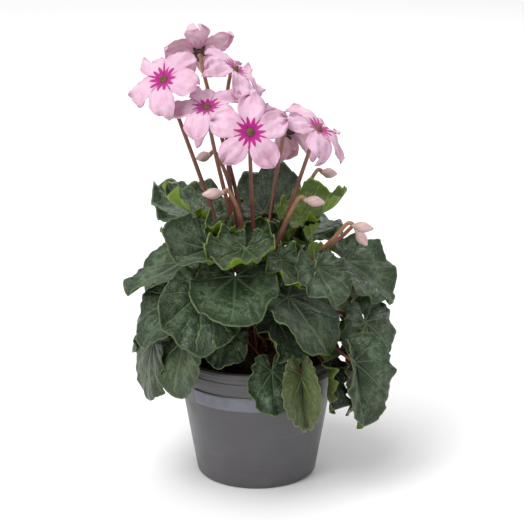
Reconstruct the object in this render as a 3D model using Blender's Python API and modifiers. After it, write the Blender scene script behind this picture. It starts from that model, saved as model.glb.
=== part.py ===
"""A cyclamen in flower, growing from its tuber in a round plastic nursery pot.

Blender 4.5 script: blender --background --python part.py
Metres, +Z up. The origin is the centre of the pot's underside, and -Y is the plant's front.
Leaves and flowers are set out as they grow: each new stalk leaves the crown one golden angle
after the last, so the youngest stand upright in the middle and the oldest hang round the rim.
"""

import itertools
import math
import random

import bmesh
import bpy
import numpy as np
from mathutils import Matrix, Vector
from mathutils.bvhtree import BVHTree

# ---- driving dimensions -------------------------------------------------------------------

POT_HEIGHT = 0.092
RIM_RADIUS = 0.060
FOOT_RADIUS = 0.043
WALL = 0.0012
COLLAR_DEPTH = 0.0135
COLLAR_STEP = 0.0016
RIM_LIP = 0.0022
HEADSPACE = 0.009
DRAIN_HOLES = 8
DRAIN_RADIUS = 0.0035
POT_SEGMENTS = 40

LABEL_HEIGHT = 0.011
LABEL_DROP = 0.0185
LABEL_START = math.radians(-142)
LABEL_END = math.radians(-78)
LABEL_THICKNESS = 0.0003

TUBER_RADIUS = 0.024
TUBER_HALF_HEIGHT = 0.012
TUBER_RISE = 0.003
TUBER_RINGS = 8

FIT_GAP = 0.0003
GOLDEN_ANGLE = math.radians(137.508)
CROWN_TURN = math.radians(267.4)
CROWN_STEP = 0.00238
STALK_RADIUS = 0.0015
STALK_STEPS = 5
LEAF_THICKNESS = 0.0008
PETAL_THICKNESS = 0.0007
PETAL_GAP = 0.0004

LEAVES = 34
FIRST_LEAF_SLOT = 13
LEAF_SEED = 41
LEAF_LENGTH = 0.046
LOBE_ANGLE = math.radians(168)
LEAF_RAYS = 14
LEAF_RINGS = (0.0, 0.55, 1.0)
LEAF_GAP = 0.0018
LEAF_REACH = 0.012
STALK_BERTH = 0.0018
SIDESTEP = 0.0010
SETTLING_ROUNDS = 80

PETALS = 5
PETAL_LENGTH = 0.0285
PETAL_WIDTH = 0.0195
EYE_RADIUS = 0.0032
CUP_DEPTH = 0.0050

# Radius at each share of the way along: up a cup of sepals, and along a bud to its point.
CUP_RADII = {0.28: 0.0021, 0.68: 0.0028, 1.0: 0.0024}
BUD_RADII = {0.0: 0.0014, 0.12: 0.0021, 0.35: 0.0031, 0.6: 0.0029, 0.85: 0.0016, 1.0: 0.0006}

SOIL_TOP = POT_HEIGHT - HEADSPACE
TUBER_CENTRE = Vector((0, 0, SOIL_TOP + TUBER_RISE))

# Each open flower: crown slot, middle of its face, way it faces, how far its petals fold back
# and how far it is turned on its stalk, in degrees.
FLOWERS = {
    "front": (0, (-0.004, -0.030, 0.257), (0.05, -0.93, 0.36), 4, 14),
    "right": (3, (0.043, -0.008, 0.254), (0.55, -0.26, 0.79), 16, 0),
    "left": (2, (-0.034, -0.002, 0.268), (-0.15, -0.36, 0.92), 8, 50),
    "back_right": (1, (0.022, 0.052, 0.240), (0.45, 0.75, 0.50), 12, 0),
    "back_left": (7, (-0.015, 0.033, 0.288), (0.60, -0.12, 0.77), 10, 0),
    "top": (4, (-0.042, 0.058, 0.296), (-0.35, 0.80, 0.50), 8, 10),
    "far_left": (10, (-0.064, 0.006, 0.286), (-0.45, -0.62, 0.64), 8, 0),
}

# Each bud: crown slot, top of its crook, way it hangs over, its length.
BUDS = {
    "front_left": (5, (-0.019, -0.030, 0.216), (-0.95, -0.15, -0.05), 0.0135),
    "front_right": (8, (0.030, -0.022, 0.209), (0.95, -0.10, -0.12), 0.0130),
    "right_upper": (11, (0.063, -0.030, 0.193), (0.90, -0.20, -0.10), 0.0135),
    "right_lower": (6, (0.068, -0.012, 0.186), (0.55, -0.55, -0.65), 0.0120),
    "back": (12, (-0.030, 0.046, 0.225), (-0.80, 0.35, -0.30), 0.0115),
    "back_right": (9, (0.044, 0.044, 0.212), (0.85, 0.40, -0.20), 0.0120),
}

# What sets single leaves apart from the rule: angles in degrees, "out" and "rise" in metres
# from where the rule puts the blade's base, the rest as shares of the blade's length.
LEAF_HABITS = {
    0: {"azimuth": -3, "rise": -0.022, "pitch": -24, "swing": 4, "cup": 0.44, "size": 1.04},
    1: {"azimuth": -8, "rise": -0.004, "pitch": 12, "cup": 0.40},
    2: {"azimuth": -14, "rise": -0.004, "pitch": 18, "cup": 0.36},
    3: {"azimuth": -12, "out": 0.004, "rise": -0.012, "pitch": -38, "cup": 0.20, "size": 0.72},
    4: {"azimuth": -8, "rise": 0.001, "pitch": 22, "cup": 0.34},
    5: {"rise": -0.002, "cup": 0.36, "pitch": 0},
    6: {"out": 0.005, "rise": -0.012, "pitch": -32, "roll": 24, "cup": 0.05},
    7: {"rise": 0.002, "pitch": 14, "cup": 0.30},
    8: {"azimuth": -22, "rise": -0.004, "pitch": -38, "swing": 14, "roll": 0, "size": 1.06},
    9: {"rise": 0.002, "pitch": 10},
    11: {"azimuth": -8, "rise": 0.006, "pitch": -40, "swing": -18, "cup": 0.20, "size": 0.74},
    13: {"azimuth": -7, "out": 0.002, "pitch": -40, "swing": 28, "size": 1.04},
    16: {"azimuth": 0, "out": -0.006, "rise": 0.004, "pitch": -40, "swing": 28, "size": 1.08},
    19: {"azimuth": -11, "out": 0.018, "rise": -0.020, "pitch": -64, "swing": -8, "size": 1.02},
    21: {"azimuth": -13, "out": -0.012, "rise": -0.010, "pitch": -42, "size": 0.58},
    24: {"azimuth": 8, "out": 0.009, "rise": -0.024, "pitch": -80, "fold": 0.90, "size": 1.12},
    29: {"azimuth": 13, "fold": 1.60, "out": -0.003, "rise": -0.016, "pitch": -78, "size": 0.92, "roll": 30},
    33: {"azimuth": -4},
}

COLOURS = {
    "pot": ((0.235, 0.235, 0.255), 0.45),
    "label": ((0.62, 0.66, 0.72), 0.50),
    "soil": ((0.045, 0.028, 0.018), 0.95),
    "tuber": ((0.120, 0.070, 0.045), 0.85),
    "leaf": ((0.055, 0.120, 0.055), 0.45),
    "leaf_old": ((0.070, 0.115, 0.045), 0.50),
    "stalk": ((0.270, 0.085, 0.050), 0.40),
    "petal": ((0.830, 0.480, 0.680), 0.55),
    "bud": ((0.780, 0.500, 0.500), 0.55),
}


# ---- Blender helpers ----------------------------------------------------------------------


def clear_scene():
    for obj in list(bpy.data.objects):
        bpy.data.objects.remove(obj)


def new_collection(name):
    made = bpy.data.collections.new(name)
    bpy.context.scene.collection.children.link(made)
    return made


def material(kind):
    name = f"cyclamen_{kind}"
    if name in bpy.data.materials:
        return bpy.data.materials[name]
    colour, roughness = COLOURS[kind]
    made = bpy.data.materials.new(name)
    made.use_nodes = True
    shader = made.node_tree.nodes["Principled BSDF"]
    shader.inputs["Base Color"].default_value = (*colour, 1.0)
    shader.inputs["Roughness"].default_value = roughness
    shader.inputs["Metallic"].default_value = 0.0
    return made


def add_object(name, data, kind=None):
    made = bpy.data.objects.new(name, data)
    if kind:
        data.materials.append(material(kind))
        plant.objects.link(made)
    else:
        made.hide_render = True
        made.display_type = "WIRE"
        cutters.objects.link(made)
    return made


def mesh_from(bm, name):
    mesh = bpy.data.meshes.new(name)
    bm.to_mesh(mesh)
    bm.free()
    mesh.shade_smooth()
    mesh.set_sharp_from_angle(angle=math.radians(40))
    return mesh


def turned(name, profile, kind):
    """A solid of revolution about +Z from (radius, height) points, down its outer side."""
    bm = bmesh.new()
    points = [bm.verts.new((radius, 0, height)) for radius, height in profile]
    for start, end in zip(points, points[1:]):
        bm.edges.new((start, end))
    made = add_object(name, mesh_from(bm, name), kind)
    screw = made.modifiers.new("Turn", "SCREW")
    screw.steps = screw.render_steps = POT_SEGMENTS
    screw.use_merge_vertices = True
    screw.merge_threshold = 0.00001
    screw.use_smooth_shade = True
    return made


def sheet(name, columns, rows, place, thickness, kind):
    """A thin curved solid: a grid whose (column, row), each from 0 to 1, goes to place()."""
    bm = bmesh.new()
    bmesh.ops.create_grid(bm, x_segments=columns, y_segments=rows, size=0.5)
    for vert in bm.verts:
        vert.co = place(vert.co.x + 0.5, vert.co.y + 0.5)
    bmesh.ops.remove_doubles(bm, verts=bm.verts, dist=0.00002)
    made = add_object(name, mesh_from(bm, name), kind)
    solidify(made, thickness)
    return made


def solidify(obj, thickness):
    shell = obj.modifiers.new("Thickness", "SOLIDIFY")
    shell.thickness = thickness
    shell.offset = 0
    shell.use_even_offset = True


def tube(name, points, radii, kind, sides=6):
    """A round stalk along points, with its own radius at each one."""
    curve = bpy.data.curves.new(name, "CURVE")
    curve.dimensions = "3D"
    curve.bevel_depth = 1.0
    curve.bevel_resolution = (sides - 4) // 2
    curve.use_fill_caps = True
    line = curve.splines.new("POLY")
    line.points.add(len(points) - 1)
    for spot, point, radius in zip(line.points, points, radii):
        spot.co = (*point, 1.0)
        spot.radius = radius
    return add_object(name, curve, kind)


def as_mesh(obj):
    """The curve object as a closed mesh object of the same name, caps welded."""
    graph = bpy.context.evaluated_depsgraph_get()
    mesh = bpy.data.meshes.new_from_object(obj.evaluated_get(graph), depsgraph=graph)
    bm = bmesh.new()
    bm.from_mesh(mesh)
    bmesh.ops.remove_doubles(bm, verts=bm.verts, dist=0.00001)
    bm.to_mesh(mesh)
    bm.free()
    name, matrix, home = obj.name, obj.matrix_world.copy(), obj.users_collection[0]
    bpy.data.objects.remove(obj)
    made = bpy.data.objects.new(name, mesh)
    made.matrix_world = matrix
    home.objects.link(made)
    made.hide_render = home == cutters
    return made


def join_to(body, tool):
    union = body.modifiers.new("Join", "BOOLEAN")
    union.operation = "UNION"
    union.object = tool


def bezier(start, first, second, end, steps):
    """Points along one cubic curve."""
    found = []
    for step in range(steps + 1):
        t = step / steps
        u = 1 - t
        found.append(
            start * u**3 + first * 3 * u * u * t + second * 3 * u * t * t + end * t**3
        )
    return found


# ---- pot, label, soil and tuber -------------------------------------------------------------


def wall_radius(height):
    """The pot's outer radius at a height below its collar."""
    share = height / (POT_HEIGHT - COLLAR_DEPTH)
    return FOOT_RADIUS + (RIM_RADIUS - RIM_LIP - COLLAR_STEP - FOOT_RADIUS) * share


def make_pot():
    shoulder = POT_HEIGHT - COLLAR_DEPTH
    collar = RIM_RADIUS - RIM_LIP
    groove = 0.0005
    outside = [
        (collar - WALL, POT_HEIGHT),
        (RIM_RADIUS - 0.0006, POT_HEIGHT),
        (RIM_RADIUS, POT_HEIGHT - 0.0008),
        (RIM_RADIUS, POT_HEIGHT - 0.0030),
        (collar, POT_HEIGHT - 0.0034),
        (collar, POT_HEIGHT - 0.0072),
        (collar - groove, POT_HEIGHT - 0.0078),
        (collar, POT_HEIGHT - 0.0084),
        (collar - 0.0004, shoulder + 0.0008),
        (wall_radius(shoulder), shoulder),
        (FOOT_RADIUS + 0.0004, 0.0022),
        (FOOT_RADIUS - 0.0014, 0),
        (0, 0),
    ]
    inside = [
        (0, WALL),
        (FOOT_RADIUS - WALL - 0.001, WALL),
        (wall_radius(shoulder) - WALL, shoulder),
        (collar - WALL, shoulder + 0.0010),
        (collar - WALL, POT_HEIGHT),
    ]
    pot = turned("pot", outside + inside, "pot")
    for hole in range(DRAIN_HOLES):
        angle = 2 * math.pi * (hole + 0.5) / DRAIN_HOLES
        bm = bmesh.new()
        bmesh.ops.create_cone(
            bm, cap_ends=True, segments=12, radius1=DRAIN_RADIUS, radius2=DRAIN_RADIUS, depth=0.01
        )
        drill = add_object(f"drain_drill_{hole + 1}", mesh_from(bm, "drain_drill"))
        reach = FOOT_RADIUS - 0.010
        drill.location = (reach * math.cos(angle), reach * math.sin(angle), 0)
        cut = pot.modifiers.new(drill.name, "BOOLEAN")
        cut.operation = "DIFFERENCE"
        cut.object = drill


def make_label():
    def place(across, up):
        angle = LABEL_START + (LABEL_END - LABEL_START) * across
        height = POT_HEIGHT - LABEL_DROP - LABEL_HEIGHT * (1 - up)
        radius = wall_radius(height) + FIT_GAP + LABEL_THICKNESS
        return Vector((radius * math.cos(angle), radius * math.sin(angle), height))

    sheet("label", 9, 2, place, LABEL_THICKNESS, "label")


def tuber_height(radius):
    """How far the tuber's surface is above its centre, at a distance from the axis."""
    return TUBER_HALF_HEIGHT * math.sqrt(1 - (radius / TUBER_RADIUS) ** 2)


def make_soil():
    """Potting mix filling the pot, dished to take the lower half of the tuber."""
    shoulder = POT_HEIGHT - COLLAR_DEPTH
    gap = FIT_GAP + 0.0001
    edge = RIM_RADIUS - RIM_LIP - WALL - gap
    dish = []
    for ring in range(TUBER_RINGS // 2 + 1):
        slope = math.pi * ring / TUBER_RINGS
        across = (TUBER_RADIUS + 0.0006) * math.sin(slope)
        dish.append((across, TUBER_CENTRE.z - (TUBER_HALF_HEIGHT + 0.0006) * math.cos(slope)))
    top = [(0.040, SOIL_TOP + 0.0012), (edge, SOIL_TOP - 0.0005)]
    sides = [
        (edge, shoulder + 0.0016),
        (wall_radius(shoulder) - WALL - gap, shoulder - 0.0002),
        (FOOT_RADIUS - WALL - 0.001 - gap, WALL + gap),
        (0, WALL + gap),
    ]
    turned("soil", dish + top + sides, "soil")


def make_tuber():
    bm = bmesh.new()
    bmesh.ops.create_uvsphere(bm, u_segments=20, v_segments=TUBER_RINGS, radius=1)
    bmesh.ops.scale(bm, verts=bm.verts, vec=(TUBER_RADIUS, TUBER_RADIUS, TUBER_HALF_HEIGHT))
    add_object("tuber", mesh_from(bm, "tuber"), "tuber").location = TUBER_CENTRE


# ---- where stalks leave the crown -----------------------------------------------------------


def crown_slot(slot):
    """Where the stalk in that slot leaves the tuber, and the tuber's outward normal there."""
    radius = CROWN_STEP * math.sqrt(slot + 0.5)
    angle = CROWN_TURN + GOLDEN_ANGLE * slot
    rise = tuber_height(radius)
    across = Vector((math.cos(angle), math.sin(angle), 0))
    spot = across * radius + Vector((0, 0, rise))
    normal = Vector(
        (spot.x / TUBER_RADIUS**2, spot.y / TUBER_RADIUS**2, rise / TUBER_HALF_HEIGHT**2)
    ).normalized()
    return TUBER_CENTRE + spot + normal * FIT_GAP, normal


def stalk_path(slot, end, arrival, steps, lift=0.5, settle=0.35):
    """A stalk's centreline from its crown slot to end, which it reaches along arrival."""
    start, normal = crown_slot(slot)
    reach = (end - start).length
    return bezier(
        start, start + normal * reach * lift, end - arrival * reach * settle, end, steps
    )


# ---- leaves ---------------------------------------------------------------------------------


def between(young, old, age, power=1.0):
    return young + (old - young) * age**power


def leaf_habit(number):
    """How leaf `number` stands and is shaped. 0 is the youngest."""
    age = number / (LEAVES - 1)
    own = LEAF_HABITS.get(number, {})
    draw = random.Random(LEAF_SEED * 1000 + number)
    chance = {name: draw.uniform(-1, 1) for name in ("turn", "swing", "roll", "pitch", "size", "cup")}
    azimuth = CROWN_TURN + GOLDEN_ANGLE * (number + FIRST_LEAF_SLOT)
    azimuth += math.radians(own.get("azimuth", 4 * chance["turn"]))
    out = between(0.026, 0.078, age, 0.6) + own.get("out", 0)
    rise = between(0.196, 0.100, age, 0.8) + own.get("rise", 0)
    grown = min(1.0, 0.80 + 1.1 * age) * (1 - 0.08 * age)
    return {
        "age": age,
        "attach": Vector((out * math.cos(azimuth), out * math.sin(azimuth), rise)),
        "heading": azimuth + math.radians(own.get("swing", 12 * chance["swing"])),
        "pitch": math.radians(own.get("pitch", between(14, -72, age, 0.6) + 6 * chance["pitch"])),
        "roll": math.radians(own.get("roll", 12 * chance["roll"])),
        "length": LEAF_LENGTH * grown * own.get("size", 1 + 0.07 * chance["size"]),
        "cup": own.get("cup", between(0.28, -0.04, age, 0.7) + 0.06 * chance["cup"]),
        "fold": own.get("fold", 0.10),
        "droop": between(0.10, 0.20, age),
        "wave": 0.045,
        "phase": draw.uniform(0, 2 * math.pi),
    }


def leaf_margin(angle):
    """The heart-shaped outline: distance to the margin at an angle off the midrib, as a share."""
    disc = 0.30 * math.cos(angle) + math.sqrt(0.41 - 0.09 * math.sin(angle) ** 2)
    tip = 0.06 * math.exp(-((angle / 0.30) ** 2))
    lobes = 0.11 * math.exp(-(((abs(angle) - 2.40) / 0.50) ** 2))
    return disc + tip + lobes


def blade_point(habit, angle, share):
    """A point of the blade in its own axes: x across, y along the midrib, z off the upper face."""
    margin = leaf_margin(angle)
    x = share * margin * math.sin(angle) / math.hypot(1, habit["fold"])
    y = share * margin * math.cos(angle)
    z = habit["cup"] * (share * margin) ** 2
    z -= habit["droop"] * max(0.0, y) ** 2
    z += habit["fold"] * abs(x) * (1 - 0.3 * abs(x))
    z += habit["wave"] * share**2 * math.sin(3 * angle + habit["phase"])
    return Vector((x, y, z)) * habit["length"]


def leaf_axes(habit):
    """Matrix from the blade's own axes to the plant's."""
    turn = Matrix.Rotation(habit["heading"] - math.pi / 2, 4, "Z")
    pitch = Matrix.Rotation(habit["pitch"], 4, "X")
    roll = Matrix.Rotation(habit["roll"], 4, "Y")
    return Matrix.Translation(habit["attach"]) @ turn @ pitch @ roll


def blade_surface(habit):
    """The blade's middle surface in the plant's axes, as (points, faces), upper side out."""
    axes = leaf_axes(habit)
    rings = LEAF_RINGS[1:]
    points = [axes @ blade_point(habit, 0, 0)]
    for ray in range(LEAF_RAYS + 1):
        angle = LOBE_ANGLE * (1 - 2 * ray / LEAF_RAYS)
        points += [axes @ blade_point(habit, angle, share) for share in rings]
    faces = []
    for ray in range(LEAF_RAYS):
        here, there = 1 + ray * len(rings), 1 + (ray + 1) * len(rings)
        faces.append((0, here, there))
        for ring in range(len(rings) - 1):
            faces.append((here + ring, here + ring + 1, there + ring + 1, there + ring))
    return points, faces


def too_close(points, tree):
    """Where points come within LEAF_GAP of a blade, or through it: (point, spot on it, push)."""
    near = []
    for point in points:
        spot, normal, _, distance = tree.find_nearest(point, LEAF_REACH)
        if spot is not None:
            height = (point - spot).dot(normal)
            if abs(height) >= 0.9 * distance:
                near.append((point, spot, normal, height))
    side = 1 if sum(height for *_, height in near) >= 0 else -1
    found = []
    for point, spot, normal, height in near:
        if side * height < LEAF_GAP:
            found.append((point, spot, normal * side * (LEAF_GAP - side * height)))
    return found


def give_way(habit, pushes):
    """Lifts, tips and rolls a blade a little, as the pushes on it ask."""
    axes = leaf_axes(habit)
    face = axes.to_3x3() @ Vector((0, 0, 1))
    back = axes.inverted()
    local = [back @ point for point, _ in pushes]
    rows = [(1, spot.y, -spot.x) for spot in local] + [(0, 0.03, 0), (0, 0, 0.03)]
    wanted = [push.dot(face) for _, push in pushes] + [0, 0]
    lift, pitch, roll = np.linalg.lstsq(np.array(rows), np.array(wanted), rcond=None)[0]
    habit["attach"] += face * float(lift)
    habit["pitch"] += float(pitch)
    habit["roll"] += float(roll)


def leaf_stalk_path(number, habit):
    """The centreline of a leaf's own stalk, which ends just inside the blade."""
    arrival = (leaf_axes(habit).to_3x3() @ Vector((0, 0.6, 0.8))).normalized()
    end = habit["attach"] + arrival * 0.0002
    return stalk_path(number + FIRST_LEAF_SLOT, end, arrival, STALK_STEPS)


def pierced(tree, path):
    """Where a stalk along path goes through a blade, or brushes its margin."""
    corners = [Vector((x, y, 0)) * STALK_BERTH for x in (-1, 1) for y in (-1, 1)]
    for start, end in zip(path, path[1:]):
        way = end - start
        for corner in corners:
            spot = tree.ray_cast(start + corner, way, way.length)[0]
            if spot is not None:
                return spot
    return None


def settled_leaves():
    """Every leaf's habit, once the blades have eased off one another and off the stalks."""
    habits = [leaf_habit(number) for number in range(LEAVES)]
    upright = [flower_path(*flower[:3]) for flower in FLOWERS.values()]
    upright += [bud_path(*bud) for bud in BUDS.values()]
    for _ in range(SETTLING_ROUNDS):
        blades = [blade_surface(habit) for habit in habits]
        trees = [BVHTree.FromPolygons(*blade) for blade in blades]
        stalks = [leaf_stalk_path(number, habit) for number, habit in enumerate(habits)]
        pushes = [[] for _ in habits]
        shifts = [Vector() for _ in habits]
        for one, other in itertools.permutations(range(LEAVES), 2):
            apart = (habits[one]["attach"] - habits[other]["attach"]).length
            if apart > habits[one]["length"] + habits[other]["length"]:
                continue
            for point, spot, push in too_close(blades[one][0], trees[other]):
                pushes[one].append((point, push / 2))
                pushes[other].append((spot, -push / 2))
        for number, tree in enumerate(trees):
            middle = sum(blades[number][0], Vector()) / len(blades[number][0])
            for path in upright + stalks[:number] + stalks[number + 1 :]:
                spot = pierced(tree, path)
                if spot is not None:
                    shifts[number] += (middle - spot).normalized() * SIDESTEP
        if not any(pushes) and not any(shift.length for shift in shifts):
            break
        for habit, felt, shift in zip(habits, pushes, shifts):
            habit["attach"] += shift
            if felt:
                give_way(habit, felt)
    return habits


def make_leaf(number, habit):
    axes = leaf_axes(habit)

    def place(across, out):
        share = LEAF_RINGS[round(out * (len(LEAF_RINGS) - 1))]
        return axes @ blade_point(habit, LOBE_ANGLE * (1 - 2 * across), share)

    kind = "leaf_old" if habit["age"] > 0.75 else "leaf"
    name = f"leaf_{number + 1:02d}"
    leaf = sheet(name, LEAF_RAYS, len(LEAF_RINGS) - 1, place, LEAF_THICKNESS, kind)
    path = leaf_stalk_path(number, habit)
    radii = [STALK_RADIUS * (1 - 0.35 * step / STALK_STEPS) for step in range(len(path))]
    join_to(leaf, as_mesh(tube(f"{name}_stalk", path, radii, None)))


# ---- flowers and buds -----------------------------------------------------------------------


def facing(centre, normal, turn):
    """Matrix that puts a flower's own +Z along normal, with its middle at centre."""
    aim = Vector(normal).to_track_quat("Z", "Y").to_matrix().to_4x4()
    return Matrix.Translation(centre) @ aim @ Matrix.Rotation(math.radians(turn), 4, "Z")


def petal_half_width(out):
    """Half a petal's width at a share of the way out: a narrow claw, broad, then a round end."""
    if out < 0.62:
        return PETAL_WIDTH / 2 * (0.30 + 0.70 * math.sin(math.pi / 2 * out / 0.62))
    return PETAL_WIDTH / 2 * math.sqrt(1 - 0.88 * ((out - 0.62) / 0.38) ** 2)


def petal_point(across, out, back_fold):
    """A point of one petal, which leaves the eye along +X. back_fold bends its tip behind."""
    reach = (PETAL_LENGTH - EYE_RADIUS) * out
    wedge = (EYE_RADIUS + reach) * math.tan(math.pi / PETALS)
    half = min(petal_half_width(out), wedge - PETAL_GAP) if out > 0 else wedge
    side = (2 * across - 1) * half
    lift = 0.0016 * math.sin(math.pi * min(1, out * 1.5))
    z = lift - math.tan(math.radians(back_fold)) * reach * out + 14 * side * side * out
    x = EYE_RADIUS + reach - 0.0022 * (2 * across - 1) ** 2 * out
    return Vector((x, side, z))


def make_corolla(name, centre, normal, back_fold, turn):
    """Five petals round a small eye, grown together at their feet."""
    axes = facing(centre, normal, turn)
    columns, rows = 2, 4
    bm = bmesh.new()
    for petal in range(PETALS):
        spoke = axes @ Matrix.Rotation(2 * math.pi * petal / PETALS, 4, "Z")
        made = bmesh.ops.create_grid(bm, x_segments=columns, y_segments=rows, size=0.5)
        for vert in made["verts"]:
            across, out = vert.co.x + 0.5, vert.co.y + 0.5
            vert.co = spoke @ petal_point(1 - across, out, back_fold)
    bmesh.ops.remove_doubles(bm, verts=bm.verts, dist=0.00005)
    open_edges = [edge for edge in bm.edges if edge.is_boundary]
    middle = axes @ Vector((0, 0, 0))
    eye = [e for e in open_edges if all((v.co - middle).length < EYE_RADIUS * 1.3 for v in e.verts)]
    bmesh.ops.edgeloop_fill(bm, edges=eye)
    bmesh.ops.recalc_face_normals(bm, faces=bm.faces)
    solidify(add_object(name, mesh_from(bm, name), "petal"), PETAL_THICKNESS)


def flower_path(slot, centre, normal):
    """The centreline of a flower's stalk, up to the foot of its cup of sepals."""
    face = Vector(normal).normalized()
    foot = Vector(centre) - face * (PETAL_THICKNESS / 2 + FIT_GAP + CUP_DEPTH)
    return stalk_path(slot, foot, (face + Vector((0, 0, 1.6))).normalized(), 7, 0.45, 0.18)


def make_flower(place, slot, centre, normal, back_fold, turn):
    """A flower stalk that ends in its cup of sepals, and the corolla that sits in the cup."""
    make_corolla(f"corolla_{place}", centre, normal, back_fold, turn)
    path = flower_path(slot, centre, normal)
    face = Vector(normal).normalized()
    cup = [path[-1] + face * CUP_DEPTH * share for share in CUP_RADII]
    radii = [STALK_RADIUS] * len(path) + list(CUP_RADII.values())
    tube(f"flower_stalk_{place}", path + cup, radii, "stalk")


def bud_path(slot, crook, hang, length):
    """The centreline of a bud: its stalk, the crook at the top, and the bud hanging over."""
    crook, hang = Vector(crook), Vector(hang).normalized()
    path = stalk_path(slot, crook, (Vector((0, 0, 0.75)) + hang * 0.5).normalized(), 6, 0.45, 0.20)
    neck = crook + Vector((0, 0, -0.0010)) + hang * 0.0045
    return path + [neck + hang * length * share for share in BUD_RADII]


def make_bud(place, *bud):
    """A hooked stalk that swells into its unopened bud."""
    path = bud_path(*bud)
    slim = [STALK_RADIUS * 0.9] * (len(path) - len(BUD_RADII))
    tube(f"bud_{place}", path, slim + list(BUD_RADII.values()), "bud")


# ---- the whole plant ------------------------------------------------------------------------


def main():
    make_pot()
    make_label()
    make_soil()
    make_tuber()
    for number, habit in enumerate(settled_leaves()):
        make_leaf(number, habit)
    for place, flower in FLOWERS.items():
        make_flower(place, *flower)
    for place, bud in BUDS.items():
        make_bud(place, *bud)


clear_scene()
plant = new_collection("potted_cyclamen")
cutters = new_collection("cutters")
main()
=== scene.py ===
"""How the potted cyclamen looks: fine leaves, blooms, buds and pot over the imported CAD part.

Metres, +Z up, in the part's own frame. The plant is laid out by the same rules as the part.
"""

import itertools
import math
import random

import bmesh
import bpy
import numpy as np
from mathutils import Matrix, Vector, noise
from mathutils.bvhtree import BVHTree


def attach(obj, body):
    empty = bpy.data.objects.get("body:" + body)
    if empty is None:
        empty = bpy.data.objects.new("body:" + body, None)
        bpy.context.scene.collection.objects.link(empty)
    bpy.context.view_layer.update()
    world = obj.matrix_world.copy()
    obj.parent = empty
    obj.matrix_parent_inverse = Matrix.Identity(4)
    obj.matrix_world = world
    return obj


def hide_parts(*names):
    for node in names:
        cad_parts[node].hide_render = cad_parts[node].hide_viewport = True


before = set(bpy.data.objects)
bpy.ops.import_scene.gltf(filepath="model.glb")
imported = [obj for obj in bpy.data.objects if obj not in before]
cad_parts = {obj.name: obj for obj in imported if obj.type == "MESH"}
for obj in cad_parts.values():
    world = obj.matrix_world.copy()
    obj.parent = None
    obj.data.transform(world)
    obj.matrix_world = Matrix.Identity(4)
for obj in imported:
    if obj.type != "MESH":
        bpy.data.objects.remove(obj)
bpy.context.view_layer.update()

# ---- dimensions shared with the part --------------------------------------------------------

POT_HEIGHT = 0.092
RIM_RADIUS = 0.060
FOOT_RADIUS = 0.043
WALL = 0.0012
COLLAR_DEPTH = 0.0135
COLLAR_STEP = 0.0016
RIM_LIP = 0.0022
HEADSPACE = 0.009
DRAIN_HOLES = 8
DRAIN_RADIUS = 0.0035
DRAIN_INSET = 0.010

LABEL_HEIGHT = 0.011
LABEL_DROP = 0.0185
LABEL_START = math.radians(-142)
LABEL_END = math.radians(-78)
LABEL_THICKNESS = 0.0003

TUBER_RADIUS = 0.024
TUBER_HALF_HEIGHT = 0.012
TUBER_RISE = 0.003

FIT_GAP = 0.0003
GOLDEN_ANGLE = math.radians(137.508)
CROWN_TURN = math.radians(267.4)
CROWN_STEP = 0.00238
STALK_RADIUS = 0.0015
STALK_STEPS = 5
PETAL_THICKNESS = 0.0007

LEAVES = 34
FIRST_LEAF_SLOT = 13
LEAF_SEED = 41
LEAF_LENGTH = 0.046
LOBE_ANGLE = math.radians(168)
LEAF_RAYS = 14
LEAF_RINGS = (0.0, 0.55, 1.0)
LEAF_GAP = 0.0018
LEAF_REACH = 0.012
STALK_BERTH = 0.0018
SIDESTEP = 0.0010
SETTLING_ROUNDS = 80

PETALS = 5
PETAL_LENGTH = 0.0285
PETAL_WIDTH = 0.0195
EYE_RADIUS = 0.0032
CUP_DEPTH = 0.0050
CUP_RADII = {0.28: 0.0021, 0.68: 0.0028, 1.0: 0.0024}
BUD_RADII = {0.0: 0.0014, 0.12: 0.0021, 0.35: 0.0031, 0.6: 0.0029, 0.85: 0.0016, 1.0: 0.0006}

SOIL_TOP = POT_HEIGHT - HEADSPACE
TUBER_CENTRE = Vector((0, 0, SOIL_TOP + TUBER_RISE))

# Each open flower: crown slot, middle of its face, way it faces, how far its petals fold back
# and how far it is turned on its stalk, in degrees.
FLOWERS = {
    "front": (0, (-0.004, -0.030, 0.257), (0.05, -0.93, 0.36), 4, 14),
    "right": (3, (0.043, -0.008, 0.254), (0.55, -0.26, 0.79), 16, 0),
    "left": (2, (-0.034, -0.002, 0.268), (-0.15, -0.36, 0.92), 8, 50),
    "back_right": (1, (0.022, 0.052, 0.240), (0.45, 0.75, 0.50), 12, 0),
    "back_left": (7, (-0.015, 0.033, 0.288), (0.60, -0.12, 0.77), 10, 0),
    "top": (4, (-0.042, 0.058, 0.296), (-0.35, 0.80, 0.50), 8, 10),
    "far_left": (10, (-0.064, 0.006, 0.286), (-0.45, -0.62, 0.64), 8, 0),
}

# Each bud: crown slot, top of its crook, way it hangs over, its length.
BUDS = {
    "front_left": (5, (-0.019, -0.030, 0.216), (-0.95, -0.15, -0.05), 0.0135),
    "front_right": (8, (0.030, -0.022, 0.209), (0.95, -0.10, -0.12), 0.0130),
    "right_upper": (11, (0.063, -0.030, 0.193), (0.90, -0.20, -0.10), 0.0135),
    "right_lower": (6, (0.068, -0.012, 0.186), (0.55, -0.55, -0.65), 0.0120),
    "back": (12, (-0.030, 0.046, 0.225), (-0.80, 0.35, -0.30), 0.0115),
    "back_right": (9, (0.044, 0.044, 0.212), (0.85, 0.40, -0.20), 0.0120),
}

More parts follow.
